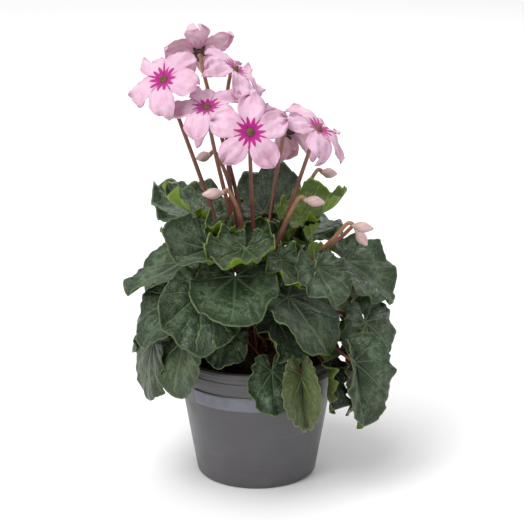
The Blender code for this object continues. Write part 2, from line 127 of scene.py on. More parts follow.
# What sets single leaves apart from the rule: angles in degrees, "out" and "rise" in metres
# from where the rule puts the blade's base, the rest as shares of the blade's length.
LEAF_HABITS = {
    0: {"azimuth": -3, "rise": -0.022, "pitch": -24, "swing": 4, "cup": 0.44, "size": 1.04},
    1: {"azimuth": -8, "rise": -0.004, "pitch": 12, "cup": 0.40},
    2: {"azimuth": -14, "rise": -0.004, "pitch": 18, "cup": 0.36},
    3: {"azimuth": -12, "out": 0.004, "rise": -0.012, "pitch": -38, "cup": 0.20, "size": 0.72},
    4: {"azimuth": -8, "rise": 0.001, "pitch": 22, "cup": 0.34},
    5: {"rise": -0.002, "cup": 0.36, "pitch": 0},
    6: {"out": 0.005, "rise": -0.012, "pitch": -32, "roll": 24, "cup": 0.05},
    7: {"rise": 0.002, "pitch": 14, "cup": 0.30},
    8: {"azimuth": -22, "rise": -0.004, "pitch": -38, "swing": 14, "roll": 0, "size": 1.06},
    9: {"rise": 0.002, "pitch": 10},
    11: {"azimuth": -8, "rise": 0.006, "pitch": -40, "swing": -18, "cup": 0.20, "size": 0.74},
    13: {"azimuth": -7, "out": 0.002, "pitch": -40, "swing": 28, "size": 1.04},
    16: {"azimuth": 0, "out": -0.006, "rise": 0.004, "pitch": -40, "swing": 28, "size": 1.08},
    19: {"azimuth": -11, "out": 0.018, "rise": -0.020, "pitch": -64, "swing": -8, "size": 1.02},
    21: {"azimuth": -13, "out": -0.012, "rise": -0.010, "pitch": -42, "size": 0.58},
    24: {"azimuth": 8, "out": 0.009, "rise": -0.024, "pitch": -80, "fold": 0.90, "size": 1.12},
    29: {
        "azimuth": 13, "out": -0.003, "rise": -0.016, "pitch": -78, "roll": 30, "fold": 1.60, "size": 0.92,
    },
    33: {"azimuth": -4},
}


# ---- what only the looks have ---------------------------------------------------------------

# Small fill leaves, between and under the part's own: side of the crown in degrees, how far out
# and how high up, tilt in degrees, length.
YOUNG_LEAVES = (
    (62, 0.016, 0.146, 50, 0.026),
    (96, 0.013, 0.152, 55, 0.026),
    (132, 0.016, 0.146, 50, 0.026),
    (28, 0.021, 0.150, 40, 0.024),
    (162, 0.021, 0.148, 40, 0.024),
    (80, 0.028, 0.134, 45, 0.030),
    (114, 0.028, 0.132, 45, 0.030),
    (-72, 0.018, 0.156, 30, 0.020),
    (-112, 0.021, 0.150, 34, 0.022),
    (-38, 0.024, 0.156, 20, 0.022),
    (-142, 0.024, 0.156, 20, 0.022),
    (-4, 0.026, 0.154, 20, 0.024),
    (184, 0.026, 0.152, 20, 0.024),
    (314, 0.050, 0.112, -52, 0.036),
    (322, 0.066, 0.090, -72, 0.032),
    (284, 0.0625, 0.098, -66, 0.031),
    (228, 0.044, 0.120, -40, 0.032),
    (348, 0.056, 0.122, -56, 0.034),
    (338, 0.057, 0.108, -62, 0.034),
)
YOUNG_SEED = 300
YOUNG_ROUNDS = 30
YOUNG_AGE = 0.05
UNDER_CROWN = 0.13  # fill leaves lower than this are flat
LONG_YOUNG = 0.028  # longer ones look like grown leaves

OLD_AGE = 0.70  # from here on a leaf looks old, and up to FRESH_AGE it looks fresh
FRESH_AGE = 0.10
CURLING_AGE = 0.45  # a younger leaf's margin curls up, an older one's down
ODD_LEAVES = {29: "pale", 1: "lime", 24: "grown", 32: "flushed"}
TOOTHED_LEAF = 29

ON_AXIS = 0.0001  # a turned profile stops this far from the axis
CRUMBS = 420
CRUMB_SEED = 7
LEAF_THICKNESS = 0.0007
PETAL_SKIN = 0.0004
SEPAL_SIZE = (0.0064, 0.0020)  # length and half width


# ---- the part's layout ----------------------------------------------------------------------


def wall_radius(height):
    share = height / (POT_HEIGHT - COLLAR_DEPTH)
    return FOOT_RADIUS + (RIM_RADIUS - RIM_LIP - COLLAR_STEP - FOOT_RADIUS) * share


def tuber_height(radius):
    return TUBER_HALF_HEIGHT * math.sqrt(1 - (radius / TUBER_RADIUS) ** 2)


def bezier(start, first, second, end, steps):
    found = []
    for step in range(steps + 1):
        t = step / steps
        u = 1 - t
        found.append(start * u**3 + first * 3 * u * u * t + second * 3 * u * t * t + end * t**3)
    return found


def crown_slot(slot):
    radius = CROWN_STEP * math.sqrt(slot + 0.5)
    angle = CROWN_TURN + GOLDEN_ANGLE * slot
    rise = tuber_height(radius)
    across = Vector((math.cos(angle), math.sin(angle), 0))
    spot = across * radius + Vector((0, 0, rise))
    normal = Vector(
        (spot.x / TUBER_RADIUS**2, spot.y / TUBER_RADIUS**2, rise / TUBER_HALF_HEIGHT**2)
    ).normalized()
    return TUBER_CENTRE + spot + normal * FIT_GAP, normal


def stalk_path(slot, end, arrival, steps, lift=0.5, settle=0.35):
    start, normal = crown_slot(slot)
    reach = (end - start).length
    return bezier(start, start + normal * reach * lift, end - arrival * reach * settle, end, steps)


def between(young, old, age, power=1.0):
    return young + (old - young) * age**power


def leaf_habit(number):
    age = number / (LEAVES - 1)
    own = LEAF_HABITS.get(number, {})
    draw = random.Random(LEAF_SEED * 1000 + number)
    chance = {name: draw.uniform(-1, 1) for name in ("turn", "swing", "roll", "pitch", "size", "cup")}
    azimuth = CROWN_TURN + GOLDEN_ANGLE * (number + FIRST_LEAF_SLOT)
    azimuth += math.radians(own.get("azimuth", 4 * chance["turn"]))
    out = between(0.026, 0.078, age, 0.6) + own.get("out", 0)
    rise = between(0.196, 0.100, age, 0.8) + own.get("rise", 0)
    grown = min(1.0, 0.80 + 1.1 * age) * (1 - 0.08 * age)
    return {
        "age": age,
        "attach": Vector((out * math.cos(azimuth), out * math.sin(azimuth), rise)),
        "heading": azimuth + math.radians(own.get("swing", 12 * chance["swing"])),
        "pitch": math.radians(own.get("pitch", between(14, -72, age, 0.6) + 6 * chance["pitch"])),
        "roll": math.radians(own.get("roll", 12 * chance["roll"])),
        "length": LEAF_LENGTH * grown * own.get("size", 1 + 0.07 * chance["size"]),
        "cup": own.get("cup", between(0.28, -0.04, age, 0.7) + 0.06 * chance["cup"]),
        "fold": own.get("fold", 0.10),
        "droop": between(0.10, 0.20, age),
        "wave": 0.045,
        "phase": draw.uniform(0, 2 * math.pi),
    }


def leaf_margin(angle):
    disc = 0.30 * math.cos(angle) + math.sqrt(0.41 - 0.09 * math.sin(angle) ** 2)
    tip = 0.06 * math.exp(-((angle / 0.30) ** 2))
    lobes = 0.11 * math.exp(-(((abs(angle) - 2.40) / 0.50) ** 2))
    return disc + tip + lobes


def blade_point(habit, angle, share):
    margin = leaf_margin(angle)
    x = share * margin * math.sin(angle) / math.hypot(1, habit["fold"])
    y = share * margin * math.cos(angle)
    z = habit["cup"] * (share * margin) ** 2
    z -= habit["droop"] * max(0.0, y) ** 2
    z += habit["fold"] * abs(x) * (1 - 0.3 * abs(x))
    z += habit["wave"] * share**2 * math.sin(3 * angle + habit["phase"])
    return Vector((x, y, z)) * habit["length"]


def leaf_axes(habit):
    turn = Matrix.Rotation(habit["heading"] - math.pi / 2, 4, "Z")
    pitch = Matrix.Rotation(habit["pitch"], 4, "X")
    roll = Matrix.Rotation(habit["roll"], 4, "Y")
    return Matrix.Translation(habit["attach"]) @ turn @ pitch @ roll


def blade_surface(habit):
    axes = leaf_axes(habit)
    rings = LEAF_RINGS[1:]
    points = [axes @ blade_point(habit, 0, 0)]
    for ray in range(LEAF_RAYS + 1):
        angle = LOBE_ANGLE * (1 - 2 * ray / LEAF_RAYS)
        points += [axes @ blade_point(habit, angle, share) for share in rings]
    faces = []
    for ray in range(LEAF_RAYS):
        here, there = 1 + ray * len(rings), 1 + (ray + 1) * len(rings)
        faces.append((0, here, there))
        for ring in range(len(rings) - 1):
            faces.append((here + ring, here + ring + 1, there + ring + 1, there + ring))
    return points, faces


def too_close(points, tree):
    near = []
    for point in points:
        spot, normal, _, distance = tree.find_nearest(point, LEAF_REACH)
        if spot is not None:
            height = (point - spot).dot(normal)
            if abs(height) >= 0.9 * distance:
                near.append((point, spot, normal, height))
    side = 1 if sum(height for *_, height in near) >= 0 else -1
    found = []
    for point, spot, normal, height in near:
        if side * height < LEAF_GAP:
            found.append((point, spot, normal * side * (LEAF_GAP - side * height)))
    return found


def give_way(habit, pushes):
    axes = leaf_axes(habit)
    face = axes.to_3x3() @ Vector((0, 0, 1))
    back = axes.inverted()
    local = [back @ point for point, _ in pushes]
    rows = [(1, spot.y, -spot.x) for spot in local] + [(0, 0.03, 0), (0, 0, 0.03)]
    wanted = [push.dot(face) for _, push in pushes] + [0, 0]
    lift, pitch, roll = np.linalg.lstsq(np.array(rows), np.array(wanted), rcond=None)[0]
    habit["attach"] += face * float(lift)
    habit["pitch"] += float(pitch)
    habit["roll"] += float(roll)


def leaf_stalk_path(number, habit, steps=STALK_STEPS):
    arrival = (leaf_axes(habit).to_3x3() @ Vector((0, 0.6, 0.8))).normalized()
    end = habit["attach"] + arrival * 0.0002
    return stalk_path(number + FIRST_LEAF_SLOT, end, arrival, steps)


def pierced(tree, path):
    corners = [Vector((x, y, 0)) * STALK_BERTH for x in (-1, 1) for y in (-1, 1)]
    for start, end in zip(path, path[1:]):
        way = end - start
        for corner in corners:
            spot = tree.ray_cast(start + corner, way, way.length)[0]
            if spot is not None:
                return spot
    return None


def settled_leaves(habits, loose, rounds=SETTLING_ROUNDS):
    """Eases the loose leaves apart from all the others, and off the stalks that come up through them."""
    upright = [flower_path(*flower[:3]) for flower in FLOWERS.values()]
    upright += [bud_path(*bud) for bud in BUDS.values()]
    for _ in range(rounds):
        blades = [blade_surface(habit) for habit in habits]
        trees = [BVHTree.FromPolygons(*blade) for blade in blades]
        stalks = [leaf_stalk_path(number, habit) for number, habit in enumerate(habits)]
        pushes = [[] for _ in habits]
        shifts = [Vector() for _ in habits]
        for one, other in itertools.permutations(range(len(habits)), 2):
            if one not in loose and other not in loose:
                continue
            apart = (habits[one]["attach"] - habits[other]["attach"]).length
            if apart > habits[one]["length"] + habits[other]["length"]:
                continue
            for point, spot, push in too_close(blades[one][0], trees[other]):
                pushes[one].append((point, push / 2))
                pushes[other].append((spot, -push / 2))
        for number, tree in enumerate(trees):
            if number not in loose:
                continue
            middle = sum(blades[number][0], Vector()) / len(blades[number][0])
            for path in upright + stalks[:number] + stalks[number + 1 :]:
                spot = pierced(tree, path)
                if spot is not None:
                    shifts[number] += (middle - spot).normalized() * SIDESTEP
        if not any(pushes[number] or shifts[number].length for number in loose):
            break
        for number in loose:
            habits[number]["attach"] += shifts[number]
            if pushes[number]:
                give_way(habits[number], pushes[number])
    return habits


def facing(centre, normal, turn):
    aim = Vector(normal).to_track_quat("Z", "Y").to_matrix().to_4x4()
    return Matrix.Translation(centre) @ aim @ Matrix.Rotation(math.radians(turn), 4, "Z")


def petal_half_width(out):
    if out < 0.62:
        return PETAL_WIDTH / 2 * (0.30 + 0.70 * math.sin(math.pi / 2 * out / 0.62))
    return PETAL_WIDTH / 2 * math.sqrt(max(0.0, 1 - 0.97 * ((out - 0.62) / 0.38) ** 2))


def flower_path(slot, centre, normal, steps=7):
    face = Vector(normal).normalized()
    foot = Vector(centre) - face * (PETAL_THICKNESS / 2 + FIT_GAP + CUP_DEPTH)
    return stalk_path(slot, foot, (face + Vector((0, 0, 1.6))).normalized(), steps, 0.45, 0.18)


def bud_path(slot, crook, hang, length):
    crook, hang = Vector(crook), Vector(hang).normalized()
    path = stalk_path(slot, crook, (Vector((0, 0, 0.75)) + hang * 0.5).normalized(), 6, 0.45, 0.20)
    neck = crook + Vector((0, 0, -0.0010)) + hang * 0.0045
    return path + [neck + hang * length * share for share in BUD_RADII]


# ---- building fine meshes -------------------------------------------------------------------

WELD = 0.000004
NO_AREA = 1e-12


def placed(name, data):
    made = bpy.data.objects.new(name, data)
    bpy.context.scene.collection.objects.link(made)
    return made


class Shape:
    """Collects patches of faces with UVs and material numbers, then makes one object."""

    def __init__(self):
        self.points, self.faces, self.spots, self.kinds = [], [], [], []

    def patch(self, rows, uvs, kind, flip=False):
        """A grid of points, with a UV each, as quads of one material."""
        base = len(self.points)
        width = len(rows[0])
        for row, marks in zip(rows, uvs):
            self.points += row
            self.spots += marks
        for r in range(len(rows) - 1):
            for c in range(width - 1):
                a = base + r * width + c
                face = (a, a + 1, a + width + 1, a + width)
                self.faces.append(face[::-1] if flip else face)
                self.kinds.append(kind)

    def made(self, name, materials):
        mesh = bpy.data.meshes.new(name)
        mesh.from_pydata([tuple(p) for p in self.points], [], self.faces)
        layer = mesh.uv_layers.new(name="Grain")
        for loop in mesh.loops:
            layer.data[loop.index].uv = self.spots[loop.vertex_index]
        mesh.polygons.foreach_set("material_index", self.kinds)
        for each in materials:
            mesh.materials.append(each)
        bm = bmesh.new()
        bm.from_mesh(mesh)
        bmesh.ops.remove_doubles(bm, verts=bm.verts, dist=WELD)
        bmesh.ops.dissolve_degenerate(bm, edges=bm.edges, dist=WELD / 8)
        bmesh.ops.recalc_face_normals(bm, faces=bm.faces)
        bm.to_mesh(mesh)
        bm.free()
        mesh.shade_smooth()
        made = placed(name, mesh)
        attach(made, "root")
        return made


def tube_patch(shape, path, radii, kind, sides):
    """A round stalk with closed ends. Its UV runs (round, along)."""
    up = Vector((0.2, 1.0, 0.1)).normalized()
    rows, marks = [], []
    count = len(path)
    for step, (point, radius) in enumerate(zip(path, radii)):
        way = (path[min(step + 1, count - 1)] - path[max(step - 1, 0)]).normalized()
        side = way.cross(up).normalized()
        other = way.cross(side).normalized()
        ring = []
        for turn in range(sides + 1):
            angle = 2 * math.pi * turn / sides
            ring.append(point + (side * math.cos(angle) + other * math.sin(angle)) * radius)
        rows.append(ring)
        marks.append([(turn / sides, step / (count - 1)) for turn in range(sides + 1)])
    foot, top = [path[0]] * (sides + 1), [path[-1]] * (sides + 1)
    shape.patch([foot, rows[0]], [marks[0], marks[0]], kind)
    shape.patch([rows[-1], top], [marks[-1], marks[-1]], kind)
    shape.patch(rows, marks, kind)


def two_sided(shape, middle, uvs, thickness, upper, lower, edge):
    """A thin sheet round a grid of middle points: upper face, lower face and its edges."""
    grid = np.array([[tuple(p) for p in row] for row in middle])
    along = np.gradient(grid, axis=0)
    across = np.gradient(grid, axis=1)
    normal = np.cross(along, across)
    size = np.linalg.norm(normal, axis=2, keepdims=True)
    normal = normal / np.maximum(size, NO_AREA)
    last = len(normal[0]) - 1
    for row, col in zip(*np.nonzero(size[:, :, 0] < NO_AREA)):
        normal[row, col] = normal[row, min(col + 1, last)]
    top = [[Vector(p) for p in row] for row in (grid + normal * thickness / 2).tolist()]
    bottom = [[Vector(p) for p in row] for row in (grid - normal * thickness / 2).tolist()]
    shape.patch(top, uvs, upper)
    shape.patch(bottom, uvs, lower, flip=True)
    for pick, flip in ((0, True), (-1, False)):
        shape.patch([top[pick], bottom[pick]], [uvs[pick], uvs[pick]], edge, flip=flip)
    for pick, flip in ((0, False), (-1, True)):
        lines = [[row[pick] for row in top], [row[pick] for row in bottom]]
        marks = [row[pick] for row in uvs]
        shape.patch(lines, [marks, marks], edge, flip=flip)


# ---- materials ------------------------------------------------------------------------------

VEIN_SPACING = 0.118  # of the whole turn round the midrib
VEIN_NET_SCALE = 380.0
STAR_RAY = 1 / 6  # half the spacing of the star's rays, of a petal's width

LEAF_TINTS = ("deep", "silver", "vein", "margin", "under", "flush", "blush")  # blush is a share
LEAF_COLOURS = {
    "fresh": (
        (0.018, 0.044, 0.010), (0.120, 0.175, 0.100), (0.105, 0.170, 0.045), (0.22, 0.31, 0.035),
        (0.130, 0.230, 0.008), (0.180, 0.200, 0.022), 0.35,
    ),
    "grown": (
        (0.013, 0.031, 0.010), (0.098, 0.150, 0.084), (0.110, 0.165, 0.070), (0.095, 0.140, 0.036),
        (0.090, 0.145, 0.020), (0.150, 0.108, 0.056), 0.40,
    ),
    "old": (
        (0.016, 0.035, 0.010), (0.095, 0.138, 0.068), (0.115, 0.160, 0.058), (0.100, 0.140, 0.042),
        (0.074, 0.096, 0.032), (0.180, 0.112, 0.090), 0.70,
    ),
    "lime": (
        (0.070, 0.130, 0.006), (0.120, 0.180, 0.030), (0.150, 0.230, 0.035), (0.25, 0.33, 0.045),
        (0.130, 0.230, 0.008), (0.180, 0.200, 0.022), 0.35,
    ),
    "pale": (
        (0.078, 0.112, 0.030), (0.130, 0.152, 0.060), (0.160, 0.195, 0.075), (0.24, 0.26, 0.11),
        (0.130, 0.150, 0.055), (0.190, 0.130, 0.098), 0.60,
    ),
    "flushed": (
        (0.052, 0.062, 0.022), (0.120, 0.086, 0.062), (0.145, 0.125, 0.072), (0.17, 0.20, 0.075),
        (0.074, 0.090, 0.032), (0.155, 0.090, 0.074), 0.90,
    ),
}


class Nodes:
    """A short way to write a procedural material."""

    def __init__(self, name):
        self.material = bpy.data.materials.new(name)
        self.material.use_nodes = True
        self.tree = self.material.node_tree
        self.shader = self.tree.nodes["Principled BSDF"]

    def add(self, kind, inputs=None, **settings):
        node = self.tree.nodes.new(kind)
        for key, value in settings.items():
            setattr(node, key, value)
        for key, value in (inputs or {}).items():
            self.put(node.inputs[key], value)
        return node

    def put(self, socket, value):
        if isinstance(value, bpy.types.NodeSocket):
            self.tree.links.new(value, socket)
        else:
            socket.default_value = value

    def math(self, operation, *values):
        node = self.add("ShaderNodeMath", operation=operation)
        for socket, value in zip(node.inputs, values):
            self.put(socket, value)
        return node.outputs[0]

    def plus(self, one, other):
        return self.math("ADD", one, other)

    def minus(self, one, other):
        return self.math("SUBTRACT", one, other)

    def times(self, one, other):
        return self.math("MULTIPLY", one, other)

    def ramp(self, value, low, high, start=0.0, end=1.0):
        """value from low..high onto start..end, smoothly and clamped."""
        inputs = {"Value": value, "From Min": low, "From Max": high, "To Min": start, "To Max": end}
        return self.add("ShaderNodeMapRange", inputs, interpolation_type="SMOOTHSTEP").outputs[0]

    def centred(self, value, amount):
        """value from 0..1 onto half of amount to either side of 0."""
        return self.times(self.minus(value, 0.5), amount)

    def place(self):
        return self.add("ShaderNodeTexCoord").outputs["Object"]

    def grain_uv(self):
        """The two parts of the UV that the fine meshes carry."""
        uv = self.add("ShaderNodeUVMap", uv_map="Grain").outputs[0]
        return self.add("ShaderNodeSeparateXYZ", {0: uv}).outputs[:2]

    def mix(self, share, one, other):
        node = self.add("ShaderNodeMix", data_type="RGBA")
        for key, value in ((0, share), (6, one), (7, other)):
            if isinstance(value, tuple) and len(value) == 3:
                value = (*value, 1.0)
            self.put(node.inputs[key], value)
        return node.outputs[2]

    def noise(self, scale, detail=2.0, where=None, rough=0.5):
        node = self.add("ShaderNodeTexNoise", {"Scale": scale, "Detail": detail, "Roughness": rough})
        if where is not None:
            self.put(node.inputs["Vector"], where)
        return node.outputs["Fac"]

    def bump(self, height, strength, distance):
        node = self.add("ShaderNodeBump", {"Height": height, "Strength": strength, "Distance": distance})
        self.put(self.shader.inputs["Normal"], node.outputs[0])

    def finish(self, colour, roughness, **more):
        if isinstance(colour, tuple) and len(colour) == 3:
            colour = (*colour, 1.0)
        self.put(self.shader.inputs["Base Color"], colour)
        self.put(self.shader.inputs["Roughness"], roughness)
        for key, value in more.items():
            self.put(self.shader.inputs[key], value)
        return self.material


def vein_lines(n, turn, out, spacing, thin, thick):
    """1 along lines that leave the stalk at even angles, 0 between them."""
    offset = n.math("PINGPONG", n.plus(turn, 10 * spacing), spacing / 2)
    return n.ramp(n.times(offset, out), thin, thick, 1.0, 0.0)


def leaf_upper(look):
    """A marbled upper face. The UV runs (angle round the midrib, share of the way out)."""
    n = Nodes(f"leaf_upper_{look}")
    colours = dict(zip(LEAF_TINTS, LEAF_COLOURS[look]))
    round_midrib, out = n.grain_uv()
    place = n.place()
    own = n.add("ShaderNodeObjectInfo").outputs["Random"]

    small, broad = n.centred(n.noise(170, 3, place), 0.045), n.centred(n.noise(55, 2, place), 0.060)
    bend = n.plus(0.90, n.times(out, 0.16))
    turn = n.times(n.minus(round_midrib, 0.5), bend)
    turn = n.plus(turn, n.times(n.plus(small, broad), out))
    veins = vein_lines(n, turn, out, VEIN_SPACING, 0.0008, 0.0070)
    forks = vein_lines(n, turn, out, VEIN_SPACING / 2, 0.0004, 0.0040)
    forks = n.times(forks, n.ramp(out, 0.40, 0.60))
    twigs = vein_lines(n, turn, out, VEIN_SPACING / 4, 0.0002, 0.0028)
    twigs = n.times(twigs, n.ramp(out, 0.62, 0.76))
    cells = {"Vector": place, "Scale": VEIN_NET_SCALE}
    net = n.add("ShaderNodeTexVoronoi", cells, feature="DISTANCE_TO_EDGE").outputs[0]
    net = n.times(n.ramp(net, 0.02, 0.12, 0.40, 0.0), n.ramp(out, 0.15, 0.40))
    lines = n.math("MAXIMUM", veins, n.times(forks, 0.65))
    lines = n.math("MAXIMUM", lines, n.times(twigs, 0.40))
    lines = n.math("MAXIMUM", lines, net)
    lines = n.times(lines, n.ramp(out, 0.86, 0.97, 1.0, 0.25))

    patchy = n.noise(85, 4, place, 0.6)
    inner = n.plus(n.centred(patchy, 0.5), out)
    band = n.times(n.ramp(inner, 0.34, 0.56), n.ramp(inner, 0.70, 0.90, 1.0, 0.10))
    marble = n.times(band, n.ramp(n.noise(230, 4, place, 0.6), 0.38, 0.60, 0.12, 1.0))
    marble = n.times(marble, n.ramp(own, 0.0, 1.0, 0.50, 0.95))

    deep = colours["deep"]
    darker, lighter = tuple(c * 0.62 for c in deep), tuple(c * 1.7 for c in deep)
    colour = n.mix(n.ramp(n.noise(120, 3, place), 0.35, 0.65), darker, deep)
    colour = n.mix(n.times(n.ramp(own, 0.2, 0.9), 0.35), colour, lighter)
    colour = n.mix(marble, colour, colours["silver"])
    colour = n.mix(n.times(lines, 0.60), colour, colours["vein"])
    rim = n.times(n.ramp(out, 0.965, 0.998), 0.85)
    colour = n.mix(rim, colour, colours["margin"])
    n.bump(n.minus(n.noise(240, 4, place), n.times(lines, 0.7)), 1.0, 0.0013)
    gloss = {"Specular IOR Level": 0.42, "Sheen Weight": 0.05, "Sheen Roughness": 0.45}
    return n.finish(colour, n.ramp(patchy, 0.30, 0.70, 0.29, 0.44), **gloss)


def leaf_under(look):
    """A paler under face with raised ribs and a blush. The UV is the upper face's."""
    n = Nodes(f"leaf_under_{look}")
    colours = dict(zip(LEAF_TINTS, LEAF_COLOURS[look]))
    green = colours["under"]
    round_midrib, out = n.grain_uv()
    place = n.place()
    turn = n.minus(round_midrib, 0.5)
    turn = n.plus(turn, n.centred(n.noise(140, 3, place), 0.05))
    ribs = vein_lines(n, turn, out, VEIN_SPACING, 0.001, 0.008)
    blush = n.times(n.ramp(n.noise(60, 3, place), 0.35, 0.65), colours["blush"])
    colour = n.mix(blush, green, colours["flush"])
    lighter = tuple(min(1, c * 1.8 + 0.03) for c in green)
    colour = n.mix(n.times(ribs, 0.45), colour, lighter)
    n.bump(n.plus(ribs, n.noise(300, 2, place)), 0.5, 0.0005)
    return n.finish(colour, 0.52, **{"Specular IOR Level": 0.4})


def plain(name, colour, roughness, spread, scale=200.0, bump=0.0):
    """One colour with darker specks."""
    n = Nodes(name)
    grain = n.noise(scale, 3, n.place())
    dark = tuple(c * (1 - spread) for c in colour)
    if bump:
        n.bump(grain, 1.0, bump)
    return n.finish(n.mix(n.ramp(grain, 0.35, 0.65), dark, colour), roughness)


def petal_face(name, pale, rose, eye, strength=1.0):
    """Pale with rose streaks, and a ragged star round the eye. The UV runs (across, out)."""
    n = Nodes(name)
    across, out = n.grain_uv()
    place = n.place()
    blotch = n.noise(120, 3, place)
    long_ways = {0: n.times(across, 34.0), 1: n.times(out, 3.0)}
    streak = n.noise(1.0, 2, n.add("ShaderNodeCombineXYZ", long_ways).outputs[0])
    rim = n.ramp(n.math("ABSOLUTE", n.minus(across, 0.5)), 0.32, 0.5)
    rim = n.math("MAXIMUM", rim, n.ramp(out, 0.82, 1.0))
    veins = n.times(n.ramp(streak, 0.45, 0.70), 0.42)
    flush = n.plus(n.times(rim, 0.50), veins)
    flush = n.plus(flush, n.ramp(blotch, 0.38, 0.66, 0.0, 0.45))
    colour = n.mix(n.math("MINIMUM", flush, 1.0), pale, rose)

    ragged = n.plus(out, n.centred(n.noise(420, 3, place), 0.16))
    ray = n.math("PINGPONG", n.plus(across, STAR_RAY), STAR_RAY)
    reach = n.ramp(ray, 0.0, STAR_RAY, 0.11, 0.29)
    star = n.ramp(n.minus(ragged, reach), -0.03, 0.03, 1.0, 0.0)
    halo = n.times(n.ramp(ragged, 0.12, 0.42, 1.0, 0.0), 0.30 * strength)
    colour = n.mix(halo, colour, rose)
    colour = n.mix(n.times(star, strength), colour, eye)
    n.bump(n.plus(streak, blotch), 0.7, 0.0007)
    soft = {"Subsurface Weight": 0.15, "Subsurface Scale": 0.002, "Sheen Weight": 0.2}
    return n.finish(colour, 0.48, **{"Specular IOR Level": 0.3}, **soft)


def stalk_skin():
    """Dark red-brown at the foot, lighter and more orange towards the bloom."""
    n = Nodes("flower_stalk_skin")
    _, along = n.grain_uv()
    grain = n.noise(170, 3, n.place())
    rise = n.ramp(n.plus(along, n.centred(grain, 0.5)), 0.45, 0.95)
    colour = n.mix(rise, (0.130, 0.036, 0.026), (0.290, 0.140, 0.072))
    n.bump(grain, 1.0, 0.0002)
    return n.finish(colour, 0.40)


def bud_skin():
    """Five petals wound round each other, each with a darker lap."""
    n = Nodes("bud_skin")
    around, along = n.grain_uv()
    place = n.place()
    wound = n.plus(n.times(around, PETALS), n.times(along, 2.2))
    lap = n.ramp(n.math("FRACT", wound), 0.0, 0.16)
    colour = n.mix(n.ramp(along, 0.0, 0.85), (0.44, 0.31, 0.25), (0.60, 0.41, 0.41))
    colour = n.mix(n.times(n.minus(1.0, lap), 0.60), colour, (0.36, 0.16, 0.17))
    n.bump(n.plus(lap, n.times(n.noise(900, 2, place), 0.3)), 0.6, 0.0004)
    return n.finish(colour, 0.5)


LEAF_LOOKS = {look: (leaf_upper(look), leaf_under(look)) for look in LEAF_COLOURS}
MARGIN = plain("leaf_edge", (0.085, 0.125, 0.035), 0.5, 0.3, 300)
LEAF_STALK = plain("leaf_stalk", (0.20, 0.062, 0.045), 0.42, 0.35, 180, 0.0002)
FLOWER_STALK = stalk_skin()
SEPAL = plain("sepal", (0.048, 0.036, 0.016), 0.5, 0.4, 300, 0.0002)
PETAL_FRONT = petal_face("petal_front", (0.72, 0.50, 0.61), (0.62, 0.33, 0.49), (0.42, 0.003, 0.21))
# The back faces' pale and rose are lighter than the front's. This is painted light, standing in for light
# shining through the petals.
PETAL_BACK_PAINTED_BACKLIGHT = petal_face("petal_back_painted_backlight", (0.77, 0.55, 0.66), (0.66, 0.38, 0.53), (0.54, 0.10, 0.32), 0.45)
PETAL_EDGE = plain("petal_edge", (0.68, 0.38, 0.54), 0.5, 0.1)
EYE = plain("flower_eye", (0.16, 0.085, 0.030), 0.6, 0.4, 900, 0.0003)
BUD = bud_skin()


# ---- plant pieces ---------------------------------------------------------------------------


def young_habit(number):
    """A small leaf that fills a gap, where the part has none."""
    azimuth, out, rise, pitch, length = YOUNG_LEAVES[number]
    draw = random.Random(YOUNG_SEED + number)
    turn = math.radians(azimuth)
    return {
        "age": YOUNG_AGE,
        "attach": Vector((out * math.cos(turn), out * math.sin(turn), rise)),
        "heading": turn + math.radians(draw.uniform(-15, 15)),
        "pitch": math.radians(pitch + draw.uniform(-6, 6)),
        "roll": math.radians(draw.uniform(-12, 12)),
        "length": length,
        "cup": draw.uniform(0.25, 0.45) if rise > UNDER_CROWN else 0.05,
        "fold": draw.uniform(0.10, 0.40) if rise > UNDER_CROWN else 0.10,
        "droop": 0.12,
        "wave": 0.05,
        "phase": draw.uniform(0, 2 * math.pi),
    }


def round_noise(angle, radius, seed):
    return noise.noise(Vector((math.cos(angle) * radius, math.sin(angle) * radius, seed)))


def ruffle(number, angle, share, age):
    """The frills, puckers and curled margin that the plain blade leaves out."""
    seed = number * 7.3
    youth = max(0.0, 1 - age / CURLING_AGE)
    frill = round_noise(angle, 3.1, seed)
    fine = round_noise(angle, 8.5, seed + 40)
    pucker = round_noise(angle, share * 4, seed + 80)
    quilt = math.cos(2 * math.pi * angle / (2 * LOBE_ANGLE * VEIN_SPACING))
    curl = (0.0042 * youth * (0.6 + frill) - 0.0016 * (1 - youth)) * share**7
    return (
        (frill * (0.0060 + 0.0034 * youth) + fine * (0.0026 + 0.0016 * youth)) * share**3
        + pucker * 0.0016 * share
        - quilt * 0.00042 * math.sin(math.pi * share)
        + curl
    )


def ragged_margin(number, angle):
    """Shallow teeth and an uneven outline."""
    seed = number * 3.7
    slow = round_noise(angle, 2.2, seed)
    rate, depth = (11, 0.090) if number == TOOTHED_LEAF else (31, 0.008)
    teeth = depth * abs(math.sin(rate * angle + seed)) if abs(angle) < 2.8 else 0
    return 1 + 0.030 * slow + teeth - 0.75 * depth


def look_of(number, habit):
    """Which of LEAF_LOOKS a leaf has."""
    if number in ODD_LEAVES:
        return ODD_LEAVES[number]
    if number >= LEAVES:
        if habit["length"] > LONG_YOUNG:
            return "grown"
        return "lime" if number % 3 == 1 else "fresh"
    if habit["age"] > OLD_AGE:
        return "old"
    return "fresh" if habit["age"] < FRESH_AGE else "grown"


